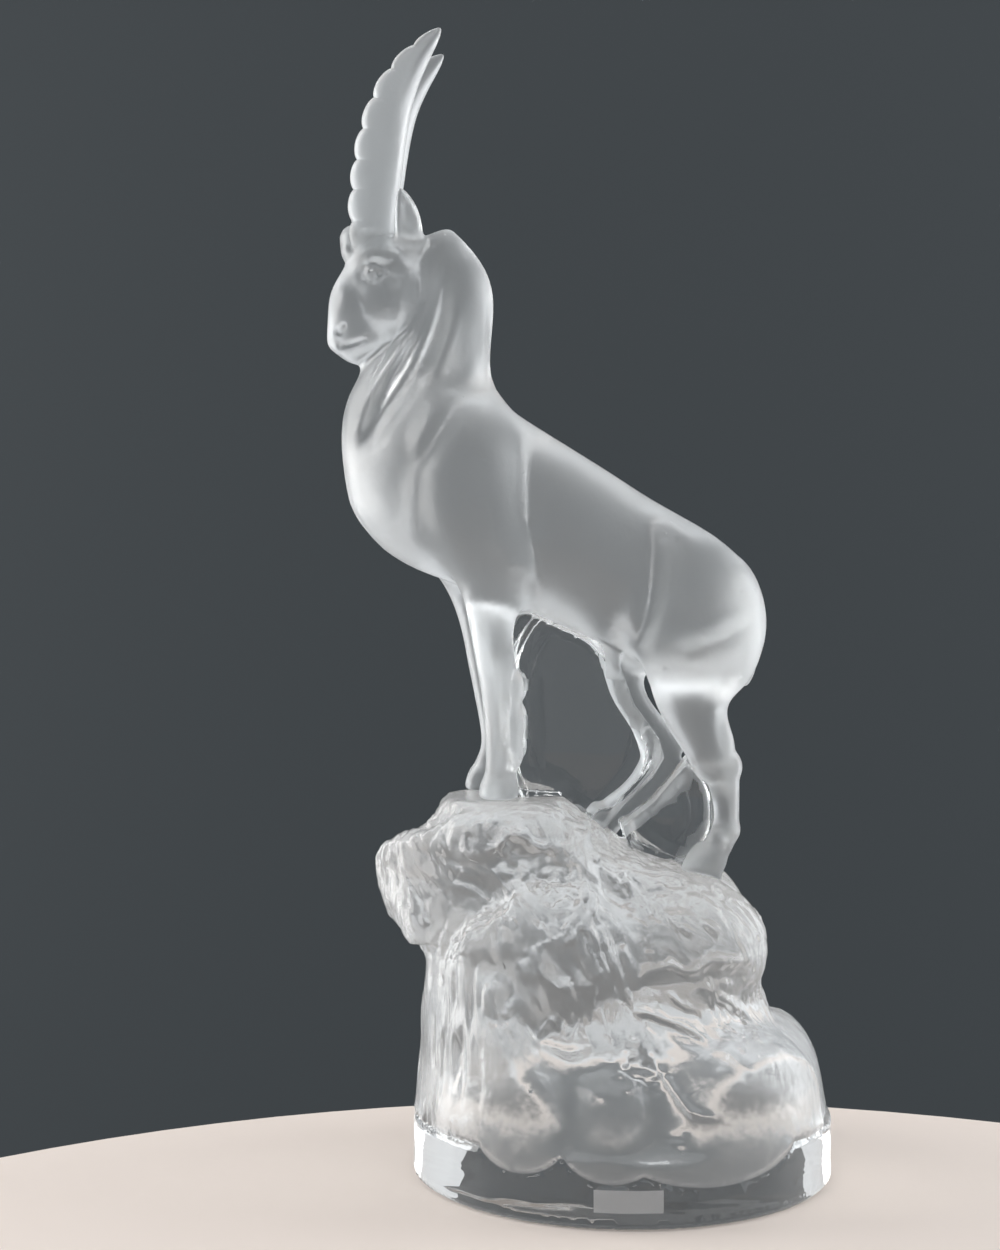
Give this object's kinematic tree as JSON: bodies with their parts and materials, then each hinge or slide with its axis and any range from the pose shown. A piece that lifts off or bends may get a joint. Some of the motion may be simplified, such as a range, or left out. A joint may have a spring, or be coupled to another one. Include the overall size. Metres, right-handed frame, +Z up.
{
  "type": "crystal glass figurine",
  "caption": "Satin-frosted crystal glass ibex standing on a craggy rock, on a clear polished round base.",
  "frame": {"origin": "centre of the flat face under the round base", "axes": "+Z up; the ibex looks along -X, and its left side is at -Y"},
  "size_m": [0.1041, 0.0861, 0.2338],
  "materials": {
    "satin_crystal": "satin, fine acid-etched",
    "rough_satin_crystal": "satin, craggy",
    "clear_crystal": "polished",
    "label_film": "clear film, glossy"
  },
  "bodies": {
    "root": {"base_disc": "clear_crystal", "rock_core": "rough_satin_crystal", "rock_crag": "rough_satin_crystal", "rock_ridge": "rough_satin_crystal", "rock_shoulder": "rough_satin_crystal", "buttress_rock": "rough_satin_crystal", "front_boulder_small": "rough_satin_crystal", "front_boulder_middle": "rough_satin_crystal", "front_boulder_large": "rough_satin_crystal", "end_boulder": "rough_satin_crystal", "back_boulder": "rough_satin_crystal", "back_buttress": "rough_satin_crystal", "torso": "satin_crystal", "neck": "satin_crystal", "head": "satin_crystal", "beard": "satin_crystal", "horn_left": "satin_crystal", "horn_right": "satin_crystal", "ear_left": "satin_crystal", "ear_right": "satin_crystal", "tail": "satin_crystal", "fore_leg_left": "satin_crystal", "fore_hoof_left": "satin_crystal", "thigh_left": "satin_crystal", "hind_leg_left": "satin_crystal", "hind_hoof_left": "satin_crystal", "fore_leg_right": "satin_crystal", "fore_hoof_right": "satin_crystal", "thigh_right": "satin_crystal", "hind_leg_right": "satin_crystal", "hind_hoof_right": "satin_crystal", "web_front": "clear_crystal", "web_rear": "clear_crystal", "stock_label": "label_film"}
  },
  "joints": []
}
